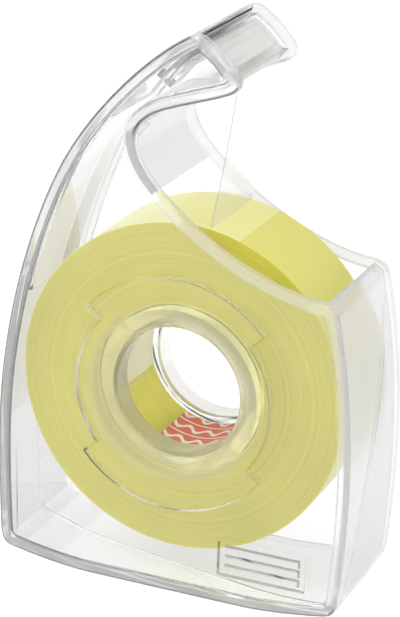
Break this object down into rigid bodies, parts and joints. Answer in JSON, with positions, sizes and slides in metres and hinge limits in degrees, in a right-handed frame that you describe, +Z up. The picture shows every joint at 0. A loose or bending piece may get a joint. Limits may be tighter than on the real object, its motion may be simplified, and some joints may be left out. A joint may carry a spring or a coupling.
{
  "type": "tape dispenser",
  "caption": "Clear hand dispenser for adhesive tape: two-shell swan-neck case, turning roll on a hub, serrated steel blade, pull-off front cover.",
  "frame": {"origin": "on the resting face, below the hub axis, midway between the two side panels", "axes": "+Z up, +Y along the hub axis away from the front cover, +X from the neck's side towards the right wall"},
  "size_m": [0.0672, 0.0276, 0.1025],
  "materials": {
    "clear_shell": "clear glossy polystyrene",
    "blade_steel": "stamped steel strip",
    "tape_film": "wound clear adhesive film, yellow in depth",
    "tail_film": "single layer of clear film",
    "core_plastic": "translucent core tube",
    "label_red": "printed paper",
    "label_pale": "plain paper"
  },
  "bodies": {
    "housing": {"back_shell": "clear_shell", "cutter_blade": "blade_steel", "tape_tail": "tail_film"},
    "front_cover": {"front_shell": "clear_shell", "front_hub_ring": "clear_shell"},
    "tape_roll": {"tape_winding": "tape_film", "roll_core": "core_plastic", "printed_core_label": "label_red", "plain_core_label": "label_pale"}
  },
  "joints": [
    {"name": "roll_spin", "type": "hinge", "parent": "housing", "child": "tape_roll", "pos_m": [0, 0.0007, 0.0376], "axis": [0, -1, 0], "continuous": true},
    {"name": "front_cover_slide", "type": "slide", "parent": "housing", "child": "front_cover", "axis": [0, -1, 0], "range_m": [0, 0.03]}
  ]
}
